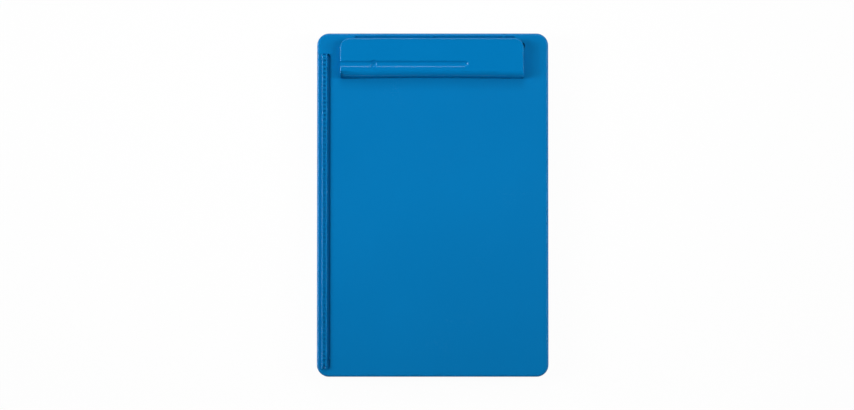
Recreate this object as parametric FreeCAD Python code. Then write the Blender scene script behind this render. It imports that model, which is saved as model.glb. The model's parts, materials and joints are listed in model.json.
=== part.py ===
import FreeCAD, Part
import math
import os

# Storage clipboard box in millimetres. +X is right, +Y is the clamp end, +Z is up.
# The origin is on the surface that the box lies on, below the middle of the board.

# Board, which is the lid of the box
board_width = 231.0
board_length = 343.0
board_thickness = 2.6
board_corner = 12.0
board_edge_round = 2.2
skirt_depth = 5.0
skirt_thickness = 1.8
skirt_gap = 0.35

# Tray below the board
foot_stand = 1.2
tray_height = 19.5
tray_wall = 2.0
floor_thickness = 2.0
tray_bevel = 2.5
floor_bevel = 1.5
room_corner = 6.0
rim_gap = 0.3

# Hinge along the left edge
hinge_inset = 6.3
barrel_radius = 2.7
rod_radius = 1.25
rod_grip = 0.02
rod_play = 0.05
swing_gap = 0.3
knuckle_length = 11.0
knuckle_gap = 0.3
knuckle_count = 4
knuckle_end_margin = 22.0
web_thickness = 1.8
web_drop = 0.5
barrel_rear_margin = 21.0
barrel_front_margin = 11.0
barrel_end_wall = 1.6
plug_shank = 3.0
plug_grip = 0.02
plug_head_radius = 2.1
plug_head_thickness = 0.7
plug_edge = 0.2

# Ladder rail on top of the hinge
rail_shift = 1.3
rail_width = 5.5
rail_height = 3.0
rail_rear_margin = 20.7
rail_front_margin = 7.9
rail_edge_round = 0.7
pocket_pitch = 4.2145
pocket_width = 2.6
pocket_length = 2.4
pocket_depth = 1.2
first_pocket_back = 6.8
last_pocket_room = 3.8
end_slot_length = 1.5
end_slot_back = 0.8
thin_slot_length = 0.7
thin_slot_back = 3.8
well_size = 2.6
well_front = 1.55
gutter_width = 3.1
gutter_depth = 1.7
gutter_mitre = 2.0
gutter_tab_length = 2.4
gutter_tab_width = 1.2
gutter_tab_front = 10.8

# Trough and round port behind the clamp
trough_width = 2.6
trough_floor = 0.7
trough_back = 2.7
trough_left_inset = 38.0
trough_right_inset = 34.0
trough_bridge = 3.0
trough_bridge_shares = (0.478, 0.933)
port_radius = 3.6
port_right_inset = 27.2
port_back = 12.6
port_edge = 0.4

# Clamp cover
clip_shift = -0.7
clip_width = 183.2
clip_length = 39.6
clip_rear_gap = 5.8
clip_height = 10.0
clip_wall = 2.0
clip_roll = 7.2
clip_bow = 0.9
clip_rear_corner = 9.5
clip_front_corner = 2.0
clip_edge_round = 1.1
clip_lift = 0.4
inner_clip_corner = 0.8
groove_radius = 5.0
groove_front = 13.7
groove_rise = 3.5
groove_wall = 1.8
groove_length = 127.9
dimple_radius = 5.0
dimple_left = 33.7
dimple_rise = 2.55
lug_radius = 2.9
lug_thickness = 2.4
ledge_width = 4.2
ledge_height = 4.0
pad_middle_gap = 7.0
pad_end_gap = 13.15
pad_width = 3.0
pad_height = 2.2
pad_sink = 0.8
pad_gap = 0.3
pad_round = 0.5
pad_side_gap = 0.1

# Clamp base, axle and springs
axle_back = 10.5
axle_height = 4.8
axle_radius = 1.4
axle_grip = 0.02
axle_play = 0.05
axle_overhang = 1.2
base_half_length = 72.0
base_thickness = 1.4
base_front = 10.0
base_back = 7.0
base_corner = 3.0
ear_radius = 2.5
ear_thickness = 3.0
ear_foot = 4.6
ear_end_margin = 12.0
ear_count = 3
lug_gap = 0.7
stop_height = 3.6
stop_thickness = 1.5
stop_length = 26.0
stop_end_gap = 14.0
boss_radius = 2.8
boss_height = 3.6
boss_front = 5.4
boss_end_margin = 27.0
screw_radius = 1.2
screw_grip = 0.03
screw_hole_gap = 0.2
screw_head_radius = 2.5
screw_head_height = 1.5
screw_end_gap = 0.4
screw_head_taper = 0.6
hex_radius = 1.2
hex_depth = 0.8
spring_wire = 0.9
spring_mean = 2.25
spring_pitch = 1.5
spring_turns = 2
spring_leg = 6.8
seat_width = 3.0
seat_gap = 0.1

# Slide latch on the right side
latch_travel = 6.0
bay_height = 11.2
bay_top_gap = 0.8
bay_web = 1.0
bay_lip = 1.2
bay_lip_thickness = 0.9
bay_end = 1.2
latch_gap = 0.3
latch_back_gap = 0.25
latch_length = 22.0
latch_flange = 0.6
latch_face_inset = 0.15
latch_face_bevel = 0.4
grip_count = 5
grip_pitch = 2.6
grip_width = 1.2
grip_depth = 0.35
nose_length = 6.0
nose_height = 2.4
nose_thickness = 1.3
keeper_gap = 0.8
keeper_thickness = 1.0
keeper_length = 8.5
keeper_side_gap = 0.1
keeper_seat_height = 4.0
keeper_slot_length = 6.3
keeper_slot_gap = 0.35
keeper_lip = 2.0
catch_width = 3.5
catch_height = 1.5
leaf_length = 15.0
leaf_width = 3.4
leaf_thickness = 0.3
leaf_side_gap = 0.3
leaf_end_gap = 0.5
leaf_pocket_depth = 0.9
leaf_back_gap = 0.1
ridge_radius = 0.6
ridge_reach = 0.35
leaf_seat_gap = 0.05
detent_radius = 1.3
detent_depth = 0.5

# Pen divider in the tray
divider_thickness = 1.5
divider_height = 13.0
divider_gap = 0.3
divider_seat_gap = 0.1
divider_notch_radius = 18.0
divider_notch_depth = 6.5
divider_foot_width = 5.0
divider_foot_height = 1.2
divider_foot_length = 30.0
divider_foot_share = 0.3
pen_room = 30.7
guide_rib = 1.2
guide_depth = 2.2
guide_rise = 11.0

# Rubber feet
foot_width = 12.0
foot_corner = 2.0
foot_inset = 13.0

# One overrun for every cut, the tolerance that picks edges, and the points of a turn that are measured
overrun = 4.0
near = 0.001
gap_steps = 24

# Corners of a hexagon about its middle
hex_shares = [(math.cos(math.pi * i / 3), math.sin(math.pi * i / 3)) for i in range(6)]

# Levels and edges that follow from the sizes above
tray_bottom = foot_stand
floor_top = tray_bottom + floor_thickness
rim_top = tray_bottom + tray_height
board_under = rim_top + rim_gap
board_top = board_under + board_thickness
board_x = board_width / 2
board_y = board_length / 2
skirt_bottom = board_under - skirt_depth
skirt_x = board_x - skirt_thickness
skirt_y = board_y - skirt_thickness
tray_x = skirt_x - skirt_gap
tray_y = skirt_y - skirt_gap
tray_corner = board_corner - skirt_thickness - skirt_gap
hinge_x = hinge_inset - board_x
hinge_z = board_under
rail_x = hinge_x + rail_shift
cove_radius = math.hypot(hinge_inset, board_thickness) + swing_gap
window_radius = barrel_radius + swing_gap
room_left = hinge_x + cove_radius + tray_wall
room_right = tray_x - tray_wall
room_y = tray_y - tray_wall
barrel_rear = board_y - barrel_rear_margin
barrel_front = barrel_front_margin - board_y
rail_rear = board_y - rail_rear_margin
rail_front = rail_front_margin - board_y
rail_top = board_top + rail_height
well_y = rail_front + well_front
clip_left = clip_shift - clip_width / 2
clip_right = clip_shift + clip_width / 2
clip_rear = board_y - clip_rear_gap
clip_front = clip_rear - clip_length
clip_top = board_top + clip_height
axle_y = clip_rear - axle_back
axle_z = board_top + axle_height
groove_y = clip_front + groove_front
groove_half = math.sqrt(groove_radius ** 2 - groove_rise ** 2)
base_top = board_top + base_thickness
ear_reach = base_half_length - ear_end_margin
ear_side = ear_thickness / 2 + lug_gap
pad_length = clip_width / 2 - clip_wall - pad_end_gap - pad_middle_gap
spring_halves = 2 * spring_turns + 1
bay_top = skirt_bottom - bay_top_gap
bay_bottom = bay_top - bay_height
latch_rear = -latch_length / 2
latch_front = latch_length / 2
latch_back = tray_x + latch_back_gap
latch_face = board_x - latch_face_inset
nose_tip = latch_front + nose_length
nose_z = (bay_top + bay_bottom) / 2
keeper_y = nose_tip + keeper_gap
keeper_top = skirt_bottom + keeper_seat_height
leaf_y = latch_rear + leaf_length / 2 + latch_travel / 2
divider_front = room_y - pen_room - divider_thickness
divider_y = divider_front + divider_thickness / 2


def vec(x, y, z):
    return FreeCAD.Vector(x, y, z)


def block(x0, x1, y0, y1, z0, z1):
    return Part.makeBox(x1 - x0, y1 - y0, z1 - z0, vec(x0, y0, z0))


def rod_x(y, z, radius, x0, x1):
    return Part.makeCylinder(radius, x1 - x0, vec(x0, y, z), vec(1, 0, 0))


def rod_y(x, z, radius, y0, y1):
    return Part.makeCylinder(radius, y1 - y0, vec(x, y0, z), vec(0, 1, 0))


def rod_z(x, y, radius, z0, z1):
    return Part.makeCylinder(radius, z1 - z0, vec(x, y, z0), vec(0, 0, 1))


def upright_edges(shape, test):
    found = []
    for edge in shape.Edges:
        box = edge.BoundBox
        if box.XLength < near and box.YLength < near and test(box):
            found.append(edge)
    return found


def level_edges(shape, z):
    found = []
    for edge in shape.Edges:
        box = edge.BoundBox
        if abs(box.ZMin - z) < near and abs(box.ZMax - z) < near:
            found.append(edge)
    return found


def rounded_block(x0, x1, y0, y1, z0, z1, corner):
    solid = block(x0, x1, y0, y1, z0, z1)
    return solid.makeFillet(corner, upright_edges(solid, lambda box: True))


def extrude_yz(points, x0, x1):
    corners = [vec(x0, y, z) for y, z in points]
    face = Part.Face(Part.makePolygon(corners + corners[:1]))
    return face.extrude(vec(x1 - x0, 0, 0))


def extrude_xy(points, z0, z1):
    corners = [vec(x, y, z0) for x, y in points]
    face = Part.Face(Part.makePolygon(corners + corners[:1]))
    return face.extrude(vec(0, 0, z1 - z0))


# Places of the tray's knuckles along the hinge
def knuckle_places():
    first = barrel_front + knuckle_end_margin
    last = barrel_rear - knuckle_end_margin
    step = (last - first) / (knuckle_count - 1)
    return [first + step * i for i in range(knuckle_count)]


def foot_places():
    columns = (room_left + foot_inset, room_right - foot_inset)
    rows = (foot_inset - room_y, room_y - foot_inset)
    return [(x, y) for x in columns for y in rows]


def screw_places():
    reach = base_half_length - boss_end_margin
    return [(clip_shift + side * reach, axle_y - boss_front) for side in (-1, 1)]


def divider_foot_places():
    reach = (room_right - room_left) * divider_foot_share
    middle = (room_right + room_left) / 2
    return [middle - reach, middle + reach]


# Tray: floor, walls, coved hinge side and the open channel below the cove
def tray_shell():
    body = rounded_block(-tray_x, tray_x, -tray_y, tray_y, tray_bottom, rim_top, tray_corner)
    body = body.makeChamfer(tray_bevel, level_edges(body, tray_bottom))
    room = rounded_block(room_left, room_right, -room_y, room_y, floor_top, rim_top + overrun, room_corner)
    room = room.makeChamfer(floor_bevel, level_edges(room, floor_top))
    body = body.cut(room)
    return body.cut(hinge_channel()).cut(rod_y(hinge_x, hinge_z, cove_radius, -board_y, board_y))


# Long hollow below the cove, open at the bottom
def hinge_channel():
    left = tray_wall - tray_x
    right = room_left - tray_wall
    low = tray_bottom - overrun
    inner_corner = tray_corner - tray_wall
    channel = rounded_block(left, -left, -room_y, room_y, low, hinge_z, inner_corner)
    channel = channel.common(block(left, right, -room_y, room_y, low, hinge_z))
    return channel.cut(rod_y(hinge_x, hinge_z, cove_radius + tray_wall, -board_y, board_y))


def tray_knuckle(y):
    y0 = y - knuckle_length / 2
    y1 = y + knuckle_length / 2
    barrel = rod_y(hinge_x, hinge_z, barrel_radius, y0, y1)
    web_top = hinge_z - web_drop
    web = block(hinge_x, room_left - tray_wall / 2, y0, y1, web_top - web_thickness, web_top)
    bore = rod_y(hinge_x, hinge_z, rod_radius + rod_grip, y0 - overrun, y1 + overrun)
    return barrel.fuse(web).cut(bore)


# Two pairs of ribs on the side walls that hold the pen divider
def divider_guides():
    ribs = []
    gap = divider_thickness / 2 + divider_gap
    top = floor_top + guide_rise
    low = floor_top - floor_thickness / 2
    left_span = (room_left - tray_wall / 2, room_left + guide_depth)
    right_span = (room_right - guide_depth, room_right + tray_wall / 2)
    for side in (-1, 1):
        y0 = divider_y + side * (gap + guide_rib / 2) - guide_rib / 2
        for x0, x1 in (left_span, right_span):
            ribs.append(block(x0, x1, y0, y0 + guide_rib, low, top))
    return ribs


# Rails with lips on the right wall that hold the slide latch
def latch_bay():
    y0 = latch_rear - latch_gap - bay_end
    y1 = latch_front + latch_travel + latch_gap
    wall = tray_x - tray_wall / 2
    inner = latch_face - bay_lip_thickness
    pieces = [block(wall, latch_face, y0, y0 + bay_end, bay_bottom, bay_top)]
    pieces.append(block(wall, latch_face, y0, y1, bay_bottom, bay_bottom + bay_web))
    pieces.append(block(wall, latch_face, y0, y1, bay_top - bay_web, bay_top))
    low_lip = bay_bottom + bay_web + bay_lip
    high_lip = bay_top - bay_web - bay_lip
    pieces.append(block(inner, latch_face, y0, y1, bay_bottom, low_lip))
    pieces.append(block(inner, latch_face, y0, y1, high_lip, bay_top))
    return pieces


def leaf_pocket():
    half_length = leaf_length / 2 + leaf_end_gap
    half_width = leaf_width / 2 + leaf_side_gap
    return block(tray_x - leaf_pocket_depth, tray_x + overrun, leaf_y - half_length, leaf_y + half_length,
                 nose_z - half_width, nose_z + half_width)


def base_tray():
    body = tray_shell()
    for y in knuckle_places():
        body = body.fuse(tray_knuckle(y))
    for piece in divider_guides() + latch_bay():
        body = body.fuse(piece)
    return body.cut(leaf_pocket())


# Stick-on rubber foot
def foot(x, y):
    half = foot_width / 2
    pad = block(x - half, x + half, y - half, y + half, 0, tray_bottom)
    return pad.makeChamfer(foot_corner, upright_edges(pad, lambda box: True))


# Drop-in wall that parts the pens from the sheets
def pen_divider():
    x0 = room_left + divider_gap
    x1 = room_right - divider_gap
    y0 = divider_front
    y1 = y0 + divider_thickness
    low = floor_top + divider_seat_gap
    high = low + divider_height
    wall = block(x0, x1, y0, y1, low, high)
    lower_ends = [edge for edge in level_edges(wall, low) if edge.BoundBox.XLength < near]
    wall = wall.makeChamfer(floor_bevel, lower_ends)
    middle = (x0 + x1) / 2
    notch_z = high + divider_notch_radius - divider_notch_depth
    wall = wall.cut(rod_y(middle, notch_z, divider_notch_radius, y0 - overrun, y1 + overrun))
    for x in divider_foot_places():
        half = divider_foot_length / 2
        sole = block(x - half, x + half, y0, y0 + divider_foot_width, low, low + divider_foot_height)
        wall = wall.fuse(sole)
    return wall.removeSplitter()


# Board with its skirt, open at the hinge side
def board_shell():
    body = rounded_block(-board_x, board_x, -board_y, board_y, skirt_bottom, board_top, board_corner)
    body = body.makeFillet(board_edge_round, level_edges(body, board_top))
    inner_corner = board_corner - skirt_thickness
    low = skirt_bottom - overrun
    room = rounded_block(-skirt_x, skirt_x, -skirt_y, skirt_y, low, board_under, inner_corner)
    skirt_start = room_left + swing_gap
    rear = board_y + overrun
    hinge_side = block(-board_x - overrun, skirt_start, -rear, rear, low, board_under)
    return body.cut(room).cut(hinge_side)


def rail():
    left = rail_x - rail_width / 2
    right = rail_x + rail_width / 2
    bar = block(left, right, rail_front, rail_rear, board_top - board_thickness / 2, rail_top)
    long_edges = [edge for edge in level_edges(bar, rail_top) if edge.BoundBox.YLength > near]
    return bar.makeFillet(rail_edge_round, long_edges)


def pocket(y, length):
    half = pocket_width / 2
    return block(rail_x - half, rail_x + half, y - length / 2, y + length / 2,
                 rail_top - pocket_depth, rail_top + overrun)


def rail_pockets():
    first = rail_rear - first_pocket_back
    count = 1 + int((first - rail_front - last_pocket_room) / pocket_pitch)
    pockets = [pocket(first - pocket_pitch * i, pocket_length) for i in range(count)]
    pockets.append(pocket(rail_rear - end_slot_back, end_slot_length))
    pockets.append(pocket(rail_rear - thin_slot_back, thin_slot_length))
    return Part.makeCompound(pockets)


# Groove in the board along the right foot of the rail, mitred at its ends, with one tab
def gutter():
    left = rail_x + rail_width / 2
    right = left + gutter_width
    low = board_top - gutter_depth
    high = board_top + overrun
    groove = block(left, right, rail_front, rail_rear, low, high)
    groove = groove.makeChamfer(gutter_mitre, upright_edges(groove, lambda box: box.XMin > right - near))
    y = rail_front + gutter_tab_front
    half = gutter_tab_length / 2
    return groove.cut(block(right - gutter_tab_width, right, y - half, y + half, low, high))


# Bore for the rod, windows for the tray's knuckles, and the well and slot at the front end
def hinge_cuts():
    rod_end = barrel_rear - barrel_end_wall
    cuts = [rod_y(hinge_x, hinge_z, rod_radius + rod_play, -board_y - overrun, rod_end)]
    half = knuckle_length / 2 + knuckle_gap
    for y in knuckle_places():
        cuts.append(rod_y(hinge_x, hinge_z, window_radius, y - half, y + half))
    well = well_size / 2
    cuts.append(block(rail_x - well, rail_x + well, well_y - well, well_y + well,
                      board_under - overrun, rail_top + overrun))
    return cuts


def trough():
    x0 = trough_left_inset - board_x
    x1 = board_x - trough_right_inset
    y1 = board_y - trough_back
    floor = board_under + trough_floor
    slot = block(x0, x1, y1 - trough_width, y1, floor, board_top + overrun)
    for share in trough_bridge_shares:
        x = x0 + (x1 - x0) * share
        slot = slot.cut(block(x - trough_bridge / 2, x + trough_bridge / 2, y1 - trough_width, y1,
                              floor, board_top + overrun))
    return slot


def port():
    x = board_x - port_right_inset
    y = board_y - port_back
    hole = rod_z(x, y, port_radius, board_under - overrun, board_top + overrun)
    lead = Part.makeCone(port_radius, port_radius + port_edge, port_edge, vec(x, y, board_top - port_edge))
    return hole.fuse(lead)


# Steel hook plate that hangs below the skirt, where the latch's nose slides in
def latch_keeper():
    slot_low = nose_z - nose_height / 2 - keeper_slot_gap
    slot_high = nose_z + nose_height / 2 + keeper_slot_gap
    x1 = skirt_x + keeper_thickness
    plate = block(skirt_x, x1, keeper_y, keeper_y + keeper_length, slot_low - keeper_lip, keeper_top)
    slot = block(skirt_x, x1, keeper_y, keeper_y + keeper_slot_length, slot_low, slot_high)
    return plate.cut(slot).cut(keeper_catch(keeper_side_gap))


# Recess for the keeper in the skirt's inner face, round the catch that holds it
def keeper_seat():
    seat = block(skirt_x, skirt_x + keeper_thickness, keeper_y - keeper_side_gap,
                 keeper_y + keeper_length + keeper_side_gap, skirt_bottom, keeper_top + keeper_side_gap)
    return seat.cut(keeper_catch(0))


def keeper_catch(gap):
    y = keeper_y + keeper_length / 2
    z = (skirt_bottom + keeper_top) / 2
    return block(skirt_x, skirt_x + keeper_thickness, y - catch_width / 2 - gap, y + catch_width / 2 + gap,
                 z - catch_height / 2 - gap, z + catch_height / 2 + gap)


def lid_plate():
    body = board_shell().cut(keeper_seat()).fuse(rail())
    body = body.fuse(rod_y(hinge_x, hinge_z, barrel_radius, barrel_front, barrel_rear))
    body = body.cut(Part.makeCompound(hinge_cuts()))
    body = body.cut(rail_pockets()).cut(gutter()).cut(trough()).cut(port())
    hole_radius = screw_radius + screw_hole_gap
    for x, y in screw_places():
        body = body.cut(rod_z(x, y, hole_radius, board_under - overrun, board_top + overrun))
    return body


# Steel rod through all the knuckles
def hinge_rod():
    y0 = barrel_front + plug_shank
    return rod_y(hinge_x, hinge_z, rod_radius, y0, barrel_rear - barrel_end_wall - rod_play)


# Plug that closes the barrel's open front end
def rod_plug():
    radius = rod_radius + rod_play - plug_grip
    shank = rod_y(hinge_x, hinge_z, radius, barrel_front, barrel_front + plug_shank - rod_play)
    head = Part.makeCone(plug_head_radius - plug_edge, plug_head_radius, plug_head_thickness,
                         vec(hinge_x, barrel_front - plug_head_thickness, hinge_z), vec(0, 1, 0))
    above = block(hinge_x - plug_head_radius, hinge_x + plug_head_radius, barrel_front - plug_head_thickness,
                  barrel_front, hinge_z, hinge_z + plug_head_radius)
    keep = rod_y(hinge_x, hinge_z, radius, barrel_front - plug_head_thickness, barrel_front)
    return shank.fuse(head.cut(above)).fuse(keep).removeSplitter()


# Outer skin of the clamp cover, or its hollow when inset by the wall
def cover_form(inset, corner, bottom):
    top = clip_top - inset
    x0 = clip_left + inset
    x1 = clip_right - inset
    y1 = clip_rear - inset
    plan = block(x0, x1, clip_front + inset, y1, bottom, top)
    plan = plan.makeFillet(clip_rear_corner - inset, upright_edges(plan, lambda box: box.YMin > axle_y))
    plan = plan.makeFillet(corner, upright_edges(plan, lambda box: box.YMax < axle_y and box.ZLength > near))
    if not inset:
        plan = plan.makeFillet(clip_edge_round, level_edges(plan, top))
    return plan.common(front_roll(inset, bottom))


# Rolled front edge, bowed in plan about a far upright axis
def front_roll(inset, bottom):
    half = clip_width / 2
    bow_radius = (half * half + clip_bow * clip_bow) / (2 * clip_bow)
    front = clip_front + clip_bow + inset
    top = clip_top - inset
    radius = clip_roll - inset
    rear = clip_rear + overrun
    slant = radius * math.cos(math.pi / 4)
    start = vec(clip_shift, front, top - radius)
    middle = vec(clip_shift, front + radius - slant, top - radius + slant)
    end = vec(clip_shift, front + radius, top)
    high_rear = vec(clip_shift, rear, top)
    low_rear = vec(clip_shift, rear, bottom)
    rest = [end, high_rear, low_rear, vec(clip_shift, front, bottom), start]
    edges = [Part.Arc(start, middle, end).toShape()]
    edges += [Part.makeLine(rest[i], rest[i + 1]) for i in range(len(rest) - 1)]
    face = Part.Face(Part.Wire(edges))
    axis_point = vec(clip_shift, clip_front + clip_bow - bow_radius, 0)
    sweep = math.degrees(math.asin((half + overrun) / bow_radius))
    face.rotate(axis_point, vec(0, 0, 1), -sweep)
    return face.revolve(axis_point, vec(0, 0, 1), 2 * sweep)


def groove():
    z = clip_top + groove_rise
    end = clip_left + groove_length - groove_half
    channel = rod_x(groove_y, z, groove_radius, clip_left - overrun, end)
    return channel.fuse(Part.makeSphere(groove_radius, vec(end, groove_y, z)))


# Thicker stretch of the cover that carries the groove
def groove_shell():
    end = clip_left + groove_length + groove_wall
    return rod_x(groove_y, clip_top + groove_rise, groove_radius + groove_wall, clip_left, end)


def dimple():
    return Part.makeSphere(dimple_radius, vec(clip_left + dimple_left, groove_y, clip_top + dimple_rise))


def ear_places():
    step = 2 * ear_reach / (ear_count - 1)
    return [clip_shift - ear_reach + step * i for i in range(ear_count)]


# Each ear has one lug beside it, on the side away from the nearer spring
def lug_places():
    beside = ear_side + lug_thickness / 2
    first, *others = ear_places()
    return [first - beside] + [x + beside for x in others]


def cover_lug(x):
    x0 = x - lug_thickness / 2
    x1 = x + lug_thickness / 2
    eye = rod_x(axle_y, axle_z, lug_radius, x0, x1)
    stem = block(x0, x1, axle_y - lug_radius, axle_y + lug_radius, axle_z, clip_top - clip_wall / 2)
    return eye.fuse(stem)


def pad_places():
    offset = pad_middle_gap + pad_length / 2
    return [clip_shift - offset, clip_shift + offset]


def pad_front():
    return clip_front + clip_bow + ledge_width - pad_width / 2


# Foot inside the front wall that carries one rubber pad
def pad_ledge(x):
    low = board_top + pad_gap + pad_height - pad_sink
    half = pad_length / 2 + clip_wall
    front = clip_front + clip_bow + clip_wall / 2
    rear = pad_front() + pad_width + clip_wall / 2
    ledge = block(x - half, x + half, front, rear, low, low + ledge_height)
    seat_half = pad_length / 2 + pad_side_gap
    seat_front = pad_front() - pad_side_gap
    seat_rear = pad_front() + pad_width + pad_side_gap
    seat = block(x - seat_half, x + seat_half, seat_front, seat_rear, low - overrun, low + pad_sink)
    return ledge.cut(seat)


def clip_cover():
    low = board_top + clip_lift
    body = cover_form(0, clip_front_corner, low)
    hollow = cover_form(clip_wall, inner_clip_corner, low - overrun)
    body = body.cut(hollow.cut(groove_shell()))
    rise = (axle_z - low) / axle_back
    tail = clip_rear + overrun
    tail_height = low + rise * (tail - axle_y)
    slope = [(axle_y, low - overrun), (tail, low - overrun), (tail, tail_height), (axle_y, low)]
    body = body.cut(extrude_yz(slope, clip_left - overrun, clip_right + overrun))
    for x in lug_places():
        body = body.fuse(cover_lug(x))
    for x in pad_places():
        body = body.fuse(pad_ledge(x))
    bore = rod_x(axle_y, axle_z, axle_radius + axle_play, clip_left + clip_wall, clip_right - clip_wall)
    return body.cut(bore).cut(groove()).cut(dimple())


def jaw_pad(x):
    low = board_top + pad_gap
    half = pad_length / 2
    pad = block(x - half, x + half, pad_front(), pad_front() + pad_width, low, low + pad_height)
    long_edges = [edge for edge in level_edges(pad, low) if edge.BoundBox.XLength > near]
    return pad.makeFillet(pad_round, long_edges)


def ear(x):
    x0 = x - ear_thickness / 2
    x1 = x + ear_thickness / 2
    y0 = axle_y - ear_foot
    y1 = axle_y + ear_foot
    corners = [(y0, board_top), (y1, board_top), (y1, base_top), (axle_y + ear_radius, axle_z),
               (axle_y - ear_radius, axle_z), (y0, base_top)]
    return extrude_yz(corners, x0, x1).fuse(rod_x(axle_y, axle_z, ear_radius, x0, x1))


# Wall that the top edge of the sheets meets
def sheet_stop(side):
    middle = clip_shift + side * (base_half_length - stop_end_gap - stop_length / 2)
    y0 = axle_y - base_front
    return block(middle - stop_length / 2, middle + stop_length / 2, y0, y0 + stop_thickness,
                 board_top, board_top + stop_height)


# Block below the lower leg of a spring
def spring_seat(side):
    x = spring_start(side)
    top = axle_z - spring_mean - spring_wire / 2 - seat_gap
    half = seat_width / 2
    return block(x - half, x + half, axle_y + ear_foot, axle_y + base_back, board_top, top)


# Moulded base that is screwed to the board and holds the axle
def clip_base():
    x0 = clip_shift - base_half_length
    x1 = clip_shift + base_half_length
    y0 = axle_y - base_front
    body = rounded_block(x0, x1, y0, axle_y + base_back, board_top, base_top, base_corner)
    for x in ear_places():
        body = body.fuse(ear(x))
    for side in (-1, 1):
        body = body.fuse(sheet_stop(side)).fuse(spring_seat(side))
    for x, y in screw_places():
        body = body.fuse(rod_z(x, y, boss_radius, board_top, board_top + boss_height))
    bore_top = board_top + boss_height - screw_end_gap / 2
    for x, y in screw_places():
        body = body.cut(rod_z(x, y, screw_radius + screw_grip, board_top - overrun, bore_top))
    bore = rod_x(axle_y, axle_z, axle_radius + axle_grip, x0 - overrun, x1 + overrun)
    return body.cut(bore).removeSplitter()


# Left end of a spring that lies midway between the middle ear and an outer one
def spring_start(side):
    return clip_shift + (side * ear_reach - spring_pitch * spring_halves / 2) / 2


# Tapered heads with a hexagon socket, put in from inside the lid
def clip_screws():
    screws = []
    under_head = board_under - screw_head_height
    for x, y in screw_places():
        shank = rod_z(x, y, screw_radius, board_under, board_top + boss_height - screw_end_gap)
        head = Part.makeCone(screw_head_radius - screw_head_taper, screw_head_radius, screw_head_height,
                             vec(x, y, under_head))
        corners = [(x + hex_radius * across, y + hex_radius * up) for across, up in hex_shares]
        screws.append(shank.fuse(head).cut(extrude_xy(corners, under_head, under_head + hex_depth)))
    return Part.makeCompound(screws)


# Steel axle, a press fit in the ears
def clip_axle():
    reach = ear_reach + ear_side + lug_thickness + axle_overhang
    return rod_x(axle_y, axle_z, axle_radius, clip_shift - reach, clip_shift + reach)


def half_arc(start, corner, end):
    middle = (start + end) * 0.5
    cosine = (end - start).Length / 2 / (corner - start).Length
    return Part.Arc(start, middle + (corner - middle) * (cosine / (1 + cosine)), end).toShape()


# Two tangent arcs from one point and direction to the next
def biarc(p0, t0, p1, t1):
    span = p1 - p0
    both = t0 + t1
    slack = 2 * (1 - t0.dot(t1))
    along = span.dot(both)
    reach = (math.sqrt(along * along + slack * span.dot(span)) - along) / slack
    c0 = p0 + t0 * reach
    c1 = p1 - t1 * reach
    joint = (c0 + c1) * 0.5
    return [half_arc(p0, c0, joint), half_arc(joint, c1, p1)]


# Point and direction of the coil after a number of turns from its lowest point
def coil_point(x0, turns):
    angle = 2 * math.pi * turns
    y = axle_y - spring_mean * math.sin(angle)
    z = axle_z - spring_mean * math.cos(angle)
    point = vec(x0 + spring_pitch * turns, y, z)
    speed = 2 * math.pi * spring_mean
    along = vec(spring_pitch, -speed * math.cos(angle), speed * math.sin(angle))
    return point, along.normalize()


# Square wire's outline round the start of a leg, square to the leg
def wire_outline(start, way):
    across = vec(0, 0, 1).cross(way).normalize() * (spring_wire / 2)
    upward = way.cross(across).normalize() * (spring_wire / 2)
    upper = [start + across + upward, start - across + upward]
    corners = upper + [start - across - upward, start + across - upward]
    return Part.makePolygon(corners + corners[:1])


# Torsion spring with both legs to the rear, one on the base and one under the cover
def clip_spring(side):
    x0 = spring_start(side)
    stations = [coil_point(x0, i / 2) for i in range(spring_halves + 1)]
    first, first_way = stations[0]
    last, last_way = stations[-1]
    tail = first - first_way * spring_leg
    edges = [Part.makeLine(tail, first)]
    for i in range(spring_halves):
        edges += biarc(*stations[i], *stations[i + 1])
    edges.append(Part.makeLine(last, last + last_way * spring_leg))
    wire = Part.Wire(edges).makePipeShell([wire_outline(tail, first_way)], True, False)
    share = wire.Volume / (spring_wire * spring_wire * sum(edge.Length for edge in edges))
    print("spring", side, "wire volume share", round(share, 4), "least gap", round(spring_gap(x0), 3))
    return wire


# Least distance between neighbouring turns of the square wire, measured on points
def spring_gap(x0):
    points = [coil_point(x0, i / gap_steps)[0] for i in range(gap_steps * spring_turns)]
    least = min((end - start).Length for start, end in zip(points, points[gap_steps:]))
    return least - spring_wire


# Slide latch: flanged plate with finger grooves, detents and a nose
def latch_slide():
    low = bay_bottom + bay_web + latch_gap
    high = bay_top - bay_web - latch_gap
    body = block(latch_back, latch_back + latch_flange, latch_rear, latch_front, low, high)
    face_low = bay_bottom + bay_web + bay_lip + latch_gap
    face_high = bay_top - bay_web - bay_lip - latch_gap
    face = block(latch_back, latch_face, latch_rear, latch_front, face_low, face_high)
    outer_edges = [edge for edge in face.Edges if edge.BoundBox.XMin > latch_face - near]
    face = face.makeChamfer(latch_face_bevel, outer_edges)
    body = body.fuse(face)
    body = body.fuse(block(latch_back, latch_back + nose_thickness, latch_front - nose_length / 2, nose_tip,
                           nose_z - nose_height / 2, nose_z + nose_height / 2))
    for i in range(grip_count):
        y = (i - (grip_count - 1) / 2) * grip_pitch
        mouth = [(latch_face, y - grip_width / 2), (latch_face, y + grip_width / 2)]
        body = body.cut(extrude_xy(mouth + [(latch_face - grip_depth, y)], face_low, face_high))
    half = leaf_width / 2 + latch_gap
    for y in (leaf_y, leaf_y - latch_travel):
        x = latch_back - detent_radius + detent_depth
        body = body.cut(rod_z(x, y, detent_radius, nose_z - half, nose_z + half))
    return body


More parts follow.
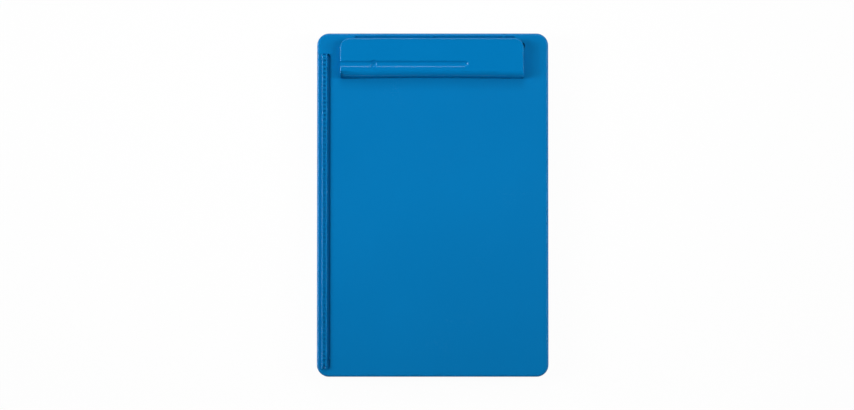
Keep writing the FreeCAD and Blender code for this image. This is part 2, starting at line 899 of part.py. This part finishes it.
# Bowed leaf between the tray wall and the latch
def latch_spring():
    foot_x = tray_x - leaf_pocket_depth + leaf_seat_gap
    crest = latch_back - leaf_back_gap
    z0 = nose_z - leaf_width / 2
    ends = [vec(foot_x, leaf_y - leaf_length / 2, z0), vec(foot_x, leaf_y + leaf_length / 2, z0)]
    outer_ends = [point + vec(leaf_thickness, 0, 0) for point in ends]
    inner = Part.Arc(ends[0], vec(crest - leaf_thickness, leaf_y, z0), ends[1]).toShape()
    outer = Part.Arc(outer_ends[1], vec(crest, leaf_y, z0), outer_ends[0]).toShape()
    sides = [Part.makeLine(ends[1], outer_ends[1]), Part.makeLine(outer_ends[0], ends[0])]
    face = Part.Face(Part.Wire([inner, sides[0], outer, sides[1]]))
    ridge = rod_z(latch_back + ridge_reach - ridge_radius, leaf_y, ridge_radius, z0, z0 + leaf_width)
    return face.extrude(vec(0, 0, leaf_width)).fuse(ridge)


def save(name, shape):
    solids = shape.Solids
    if not solids or not all(solid.isValid() for solid in solids):
        raise ValueError(name + " is not a valid solid")
    shape = solids[0] if len(solids) == 1 else Part.makeCompound(solids)
    shape.exportStep("parts/" + name + ".step")
    print(name, len(solids), "solid", round(shape.Volume), "mm3")


def main():
    os.makedirs("parts", exist_ok=True)
    save("base_tray", base_tray())
    save("lid_plate", lid_plate())
    save("hinge_rod", hinge_rod())
    save("rod_plug", rod_plug())
    save("clip_base", clip_base())
    save("clip_screws", clip_screws())
    save("clip_axle", clip_axle())
    save("clip_cover", clip_cover())
    for side, name in ((-1, "left"), (1, "right")):
        save("clip_spring_" + name, clip_spring(side))
    for x, name in zip(pad_places(), ("left", "right")):
        save("jaw_pad_" + name, jaw_pad(x))
    save("latch_slide", latch_slide())
    save("latch_spring", latch_spring())
    save("latch_keeper", latch_keeper())
    save("pen_divider", pen_divider())
    for i, (x, y) in enumerate(foot_places()):
        save("foot_" + str(i + 1), foot(x, y))


main()
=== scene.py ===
import bpy
import json
import math
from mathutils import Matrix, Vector


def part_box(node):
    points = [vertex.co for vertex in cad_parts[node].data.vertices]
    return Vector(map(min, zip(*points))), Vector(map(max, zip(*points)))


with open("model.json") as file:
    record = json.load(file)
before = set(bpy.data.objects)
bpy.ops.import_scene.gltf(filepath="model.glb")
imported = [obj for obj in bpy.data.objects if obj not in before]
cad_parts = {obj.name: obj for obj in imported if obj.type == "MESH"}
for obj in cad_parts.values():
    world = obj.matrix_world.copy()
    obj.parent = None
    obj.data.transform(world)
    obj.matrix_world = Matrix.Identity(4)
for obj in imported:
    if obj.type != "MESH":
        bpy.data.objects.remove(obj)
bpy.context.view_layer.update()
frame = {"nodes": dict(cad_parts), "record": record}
nodes = frame["nodes"]


class Val:  # one socket with arithmetic, so that masks read as formulas
    def __init__(self, net, socket):
        self.net = net
        self.socket = socket

    def math(self, kind, first, second):
        return self.net.node("ShaderNodeMath", {"operation": kind}, {0: first, 1: second})

    def __add__(self, other):
        return self.math("ADD", self, other)

    def __radd__(self, other):
        return self.math("ADD", other, self)

    def __sub__(self, other):
        return self.math("SUBTRACT", self, other)

    def __rsub__(self, other):
        return self.math("SUBTRACT", other, self)

    def __mul__(self, other):
        return self.math("MULTIPLY", self, other)

    def __rmul__(self, other):
        return self.math("MULTIPLY", other, self)

    def above(self, level):
        return self.math("GREATER_THAN", self, level)

    def below(self, level):
        return self.math("LESS_THAN", self, level)

    def atLeast(self, other):
        return self.math("MAXIMUM", self, other)


class Net:  # a node tree in the making, of a material or the world
    def __init__(self, tree):
        self.tree = tree
        self.tree.nodes.clear()

    def node(self, kind, settings=None, inputs=None, out=0):
        made = self.tree.nodes.new(kind)
        for key, value in (settings or {}).items():
            setattr(made, key, value)
        for key, value in (inputs or {}).items():
            if isinstance(value, Val):
                self.tree.links.new(value.socket, made.inputs[key])
            else:
                made.inputs[key].default_value = value
        return Val(self, made.outputs[out])

    def finish(self, shader, kind="ShaderNodeOutputMaterial"):
        output = self.tree.nodes.new(kind)
        self.tree.links.new(shader.socket, output.inputs["Surface"])

    # 1 for the rays that see the backdrop itself, 0 for those that it lights
    def seenRays(self):
        camera, glossy, clear = [
            self.node("ShaderNodeLightPath", out=name)
            for name in ("Is Camera Ray", "Is Glossy Ray", "Is Transmission Ray")
        ]
        return camera.atLeast(glossy).atLeast(clear)


class Finish(Net):  # a material whose patterns follow the piece
    def __init__(self, name):
        self.material = bpy.data.materials.new(name)
        self.material.use_nodes = True
        super().__init__(self.material.node_tree)
        self.place = self.node("ShaderNodeTexCoord", out="Object")

    def noise(self, look, vector=None):
        inputs = {
            "Vector": vector or self.place,
            "Scale": look["scale"],
            "Detail": look["detail"],
            "Roughness": look["rough"],
        }
        return self.node("ShaderNodeTexNoise", {}, inputs)

    def stretch(self, scale):
        return self.node("ShaderNodeVectorMath", {"operation": "MULTIPLY"}, {0: self.place, 1: scale})

    def patches(self, look):  # noise cut to 0 below the lower edge and 1 above the upper one
        low, high = look["edges"]
        inputs = {"Value": self.noise(look), "From Min": low, "From Max": high}
        return self.node("ShaderNodeMapRange", {"clamp": True}, inputs)

    def tint(self, factor, first, second):
        return self.node("ShaderNodeMix", {"data_type": "RGBA"}, {0: factor, 6: first, 7: second}, out=2)

    def bump(self, height, strength, distance, around=None):
        inputs = {"Height": height, "Strength": strength, "Distance": distance}
        if around:
            inputs["Normal"] = around
        return self.node("ShaderNodeBump", {}, inputs)

    def surface(self, **inputs):
        sockets = {key.replace("_", " "): value for key, value in inputs.items()}
        self.finish(self.node("ShaderNodeBsdfPrincipled", {}, sockets))
        return self.material


noiseMiddle = 0.5

# Moulded blue plastic: satin board, glossier clamp, duller tray
plastic = {
    "board": {
        "colour": (0.0008, 0.190, 0.488, 1),
        "deep": (0.0006, 0.184, 0.475, 1),
        "rough": 0.24,
        "grain": 0.08,
        "specular": 0.32,
        "rolled": False,
    },
    "clip": {
        "colour": (0.0008, 0.193, 0.500, 1),
        "deep": (0.0006, 0.187, 0.486, 1),
        "rough": 0.14,
        "grain": 0.03,
        "specular": 0.30,
        "rolled": True,
    },
    "tray": {
        "colour": (0.0008, 0.180, 0.470, 1),
        "deep": (0.0006, 0.158, 0.420, 1),
        "rough": 0.42,
        "grain": 0.14,
        "specular": 0.42,
        "rolled": False,
    },
    "cloud": {"scale": 9.0, "detail": 2.0, "rough": 0.5, "edges": (0.35, 0.65)},
    "smudge": {"scale": 24.0, "detail": 2.0, "rough": 0.5, "edges": (0.3, 0.8)},
    "fine": {"scale": 5200.0, "detail": 2.0, "rough": 0.5},
    "pores": {"scale": 1300.0, "detail": 2.0, "rough": 0.5},
    "smudgeRough": 0.03,
    "poreRough": 0.06,
    "fineHeight": 0.6,
    "poreHeight": 0.4,
    "bumpDepth": 0.0002,  # metres
}


def mouldedPlastic(name, look):
    f = Finish(name)
    fine = f.noise(plastic["fine"])
    pores = f.noise(plastic["pores"])
    smudge = f.patches(plastic["smudge"]) * plastic["smudgeRough"]
    rough = look["rough"] + smudge + (pores - noiseMiddle) * plastic["poreRough"]
    height = fine * plastic["fineHeight"] + pores * plastic["poreHeight"]
    around = rolledNormal(f) if look["rolled"] else None
    return f.surface(
        Base_Color=f.tint(f.patches(plastic["cloud"]), look["colour"], look["deep"]),
        Roughness=rough,
        Normal=f.bump(height, look["grain"], plastic["bumpDepth"], around),
        Specular_IOR_Level=look["specular"],
    )


# Round of the clamp cover's rolled front edge, in metres, bowed in plan about the middle
roll = {
    "axisY": 0.1342,
    "axisZ": 0.0264,
    "middle": -0.0007,
    "bowRadius": 4.66,
    "left": -0.0912,
    "right": 0.0898,
}


# The frame's mesh has one long facet over each end of the roll, so its round sets the shading there
def rolledNormal(f):
    x, y, z = [f.node("ShaderNodeSeparateXYZ", {}, {0: f.place}, out=axis) for axis in range(3)]
    aside = x - roll["middle"]
    across = y + aside * aside * (0.5 / roll["bowRadius"]) - roll["axisY"]
    up = z - roll["axisZ"]
    spoke = f.node("ShaderNodeCombineXYZ", {}, {"Y": across, "Z": up})
    unit = f.node("ShaderNodeVectorMath", {"operation": "NORMALIZE"}, {0: spoke})
    turn = {"vector_type": "NORMAL", "convert_from": "OBJECT", "convert_to": "WORLD"}
    outward = f.node("ShaderNodeVectorTransform", turn, {0: unit})
    flat = f.node("ShaderNodeNewGeometry", out="Normal")
    facing = f.node("ShaderNodeVectorMath", {"operation": "DOT_PRODUCT"}, {0: outward, 1: flat}, out=1)
    quarter = across.below(0.0) * up.above(0.0)
    ends = x.above(roll["left"]) * x.below(roll["right"])
    mask = quarter * ends * facing.above(0.0)
    return f.node("ShaderNodeMix", {"data_type": "VECTOR"}, {0: mask, 4: flat, 5: outward}, out=1)


# Drawn and plated steel
steel = {
    "rod": {
        "colour": (0.56, 0.57, 0.59, 1),
        "dull": (0.40, 0.41, 0.43, 1),
        "rough": 0.28,
        "streaks": (40.0, 900.0, 900.0),
    },
    "screw": {
        "colour": (0.62, 0.63, 0.64, 1),
        "dull": (0.42, 0.43, 0.45, 1),
        "rough": 0.33,
        "streaks": (700.0, 700.0, 700.0),
    },
    "spring": {
        "colour": (0.46, 0.47, 0.50, 1),
        "dull": (0.30, 0.31, 0.33, 1),
        "rough": 0.30,
        "streaks": (500.0, 500.0, 500.0),
    },
    "streak": {"scale": 1.0, "detail": 3.0, "rough": 0.6},
    "dullness": {"scale": 120.0, "detail": 4.0, "rough": 0.6, "edges": (0.45, 0.75)},
    "streakRough": 0.2,
    "dullRough": 0.12,
    "bumpStrength": 0.12,
    "bumpDepth": 0.0002,  # metres
}


def plainSteel(name, look):
    f = Finish(name)
    streak = f.noise(steel["streak"], f.stretch(look["streaks"]))
    dull = f.patches(steel["dullness"])
    return f.surface(
        Base_Color=f.tint(dull, look["colour"], look["dull"]),
        Roughness=look["rough"] + (streak - noiseMiddle) * steel["streakRough"] + dull * steel["dullRough"],
        Normal=f.bump(streak, steel["bumpStrength"], steel["bumpDepth"]),
        Metallic=1.0,
    )


# Rubber of the jaw pads and feet
rubber = {
    "colour": (0.022, 0.023, 0.026, 1),
    "dusty": (0.060, 0.060, 0.064, 1),
    "rough": 0.78,
    "speckle": {"scale": 2600.0, "detail": 3.0, "rough": 0.6},
    "dust": {"scale": 160.0, "detail": 5.0, "rough": 0.65, "edges": (0.5, 0.8)},
    "speckleRough": 0.15,
    "bumpStrength": 0.3,
    "bumpDepth": 0.0003,  # metres
}


def mouldedRubber(name):
    f = Finish(name)
    speckle = f.noise(rubber["speckle"])
    return f.surface(
        Base_Color=f.tint(f.patches(rubber["dust"]), rubber["colour"], rubber["dusty"]),
        Roughness=rubber["rough"] + (speckle - noiseMiddle) * rubber["speckleRough"],
        Normal=f.bump(speckle, rubber["bumpStrength"], rubber["bumpDepth"]),
    )


def dressNodes():
    finishes = {
        "board_plastic": mouldedPlastic("boardPlastic", plastic["board"]),
        "tray_plastic": mouldedPlastic("trayPlastic", plastic["tray"]),
        "clip_plastic": mouldedPlastic("clipPlastic", plastic["clip"]),
        "rod_steel": plainSteel("rodSteel", steel["rod"]),
        "screw_steel": plainSteel("screwSteel", steel["screw"]),
        "spring_steel": plainSteel("springSteel", steel["spring"]),
        "pad_rubber": mouldedRubber("padRubber"),
        "foot_rubber": mouldedRubber("footRubber"),
    }
    for entry in frame["record"]["subparts"]:
        obj = nodes[entry["node"]]
        for slot in obj.material_slots:
            slot.material = finishes[entry["material_slot"]]
    print("dressed", len(nodes), "nodes")


def squareAt(half, z):
    return [(-half, -half, z), (half, -half, z), (half, half, z), (-half, half, z)]


def stageMesh(name, corners, faces, material):
    mesh = bpy.data.meshes.new(name)
    mesh.from_pydata(corners, [], faces)
    mesh.materials.append(material)
    obj = bpy.data.objects.new(name, mesh)
    bpy.context.scene.collection.objects.link(obj)
    return obj


white = (1, 1, 1, 1)

# Paper floor
floor = {
    "size": 12.0,
    "colour": (0.93, 0.93, 0.93, 1),
    "show": 0.96,  # how much of the floor shows plain white to the camera
}


def makeFloor():
    f = Finish("floorPaper")
    paper = f.node("ShaderNodeBsdfDiffuse", {}, {"Color": floor["colour"]})
    shown = f.node("ShaderNodeEmission", {}, {"Color": white, "Strength": 1.0})
    f.finish(f.node("ShaderNodeMixShader", {}, {0: f.seenRays() * floor["show"], 1: paper, 2: shown}))
    stageMesh("floor", squareAt(floor["size"] / 2, 0.0), [(0, 1, 2, 3)], f.material)
    print("floor", floor["size"])


# Dark felt hood above and round the board, a lid with four walls, which only reflections see
card = {
    "size": 7.0,
    "height": 1.10,
    "foot": 0.30,
    "colour": (0.004, 0.004, 0.004, 1),
}


def makeCard():
    f = Finish("cardFelt")
    f.finish(f.node("ShaderNodeBsdfDiffuse", {}, {"Color": card["colour"]}))
    corners = squareAt(card["size"] / 2, card["height"]) + squareAt(card["size"] / 2, card["foot"])
    walls = [(i, (i + 1) % 4, 4 + (i + 1) % 4, 4 + i) for i in range(4)]
    hood = stageMesh("darkCard", corners, [(3, 2, 1, 0)] + walls, f.material)
    hood.visible_camera = False
    hood.visible_shadow = False
    hood.visible_diffuse = False
    print("card", len(walls), "walls")


worldLight = 0.05


def makeWorld():
    world = bpy.data.worlds.new("studio")
    bpy.context.scene.world = world
    world.use_nodes = True
    net = Net(world.node_tree)
    light = net.node("ShaderNodeBackground", {}, {"Color": white, "Strength": worldLight})
    shown = net.node("ShaderNodeBackground", {}, {"Color": white, "Strength": 1.0})
    mix = net.node("ShaderNodeMixShader", {}, {0: net.seenRays(), 1: light, 2: shown})
    net.finish(mix, "ShaderNodeOutputWorld")
    print("world light", worldLight)


# Studio lamps: place and size in metres, power in watts, and the rays that see each one
lampAim = (0.0, 0.10, 0.02)
lampSpread = 52.0  # degrees
lamps = {
    "leftLow": {"place": (-1.45, 0.15, 0.80), "power": 1.47, "size": (0.7, 0.45), "rays": "diffuse"},
    "leftStrip": {"place": (-1.45, 0.0, 0.80), "power": 5.0, "size": (1.8, 1.10), "rays": "glossy"},
    "leftHigh": {"place": (-1.30, 0.15, 1.35), "power": 0.68, "size": (0.7, 0.50), "rays": "diffuse"},
    "rightLow": {"place": (1.45, 0.15, 0.95), "power": 0.92, "size": (0.7, 0.45), "rays": "diffuse"},
    "rightHigh": {"place": (1.20, 0.15, 1.60), "power": 0.80, "size": (0.7, 0.50), "rays": "both"},
    "rearBox": {"place": (0.0, 1.15, 1.05), "power": 0.57, "size": (0.9, 0.70), "rays": "diffuse"},
    "rearStrip": {"place": (-0.10, 1.50, 0.87), "power": 0.49, "size": (1.2, 0.20), "rays": "both"},
}


def makeLamps():
    for name, lamp in lamps.items():
        data = bpy.data.lights.new(name, "AREA")
        data.shape = "RECTANGLE"
        data.size, data.size_y = lamp["size"]
        data.energy = lamp["power"]
        data.spread = math.radians(lampSpread)
        obj = bpy.data.objects.new(name, data)
        bpy.context.scene.collection.objects.link(obj)
        obj.visible_diffuse = lamp["rays"] != "glossy"
        obj.visible_glossy = lamp["rays"] != "diffuse"
        obj.location = lamp["place"]
        obj.rotation_euler = (Vector(lampAim) - Vector(lamp["place"])).to_track_quat("-Z", "Y").to_euler()
    print("lamps", len(lamps))


# Camera straight above the board, tipped a little towards the front end as in the photograph
camera = {
    "distance": 4.0,
    "tip": 2.2,  # degrees
    "frameWidth": 854.0,  # pixels
    "pixelSize": 0.0009978,  # metres on the board
    "boardCentre": (432.69, 204.76),  # pixels
    "frameCentre": (427.0, 205.0),
    "sensor": 36.0,
    "railHeight": 0.003,  # how far the rail stands above the board
}


def makeCamera():
    data = bpy.data.cameras.new("camera")
    data.sensor_fit = "HORIZONTAL"
    data.sensor_width = camera["sensor"]
    data.lens = camera["sensor"] * camera["distance"] / (camera["frameWidth"] * camera["pixelSize"])
    data.shift_x = (camera["frameCentre"][0] - camera["boardCentre"][0]) / camera["frameWidth"]
    data.shift_y = (camera["boardCentre"][1] - camera["frameCentre"][1]) / camera["frameWidth"]
    obj = bpy.data.objects.new("camera", data)
    bpy.context.scene.collection.objects.link(obj)
    tip = math.radians(camera["tip"])
    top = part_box("lid_plate")[1][2] - camera["railHeight"]
    obj.location = (0.0, -math.sin(tip) * camera["distance"], top + math.cos(tip) * camera["distance"])
    obj.rotation_euler = (tip, 0.0, 0.0)
    bpy.context.scene.camera = obj
    bpy.context.scene.view_settings.view_transform = "Standard"
    print("camera lens", round(data.lens, 1))


dressNodes()
makeFloor()
makeCard()
makeWorld()
makeLamps()
makeCamera()
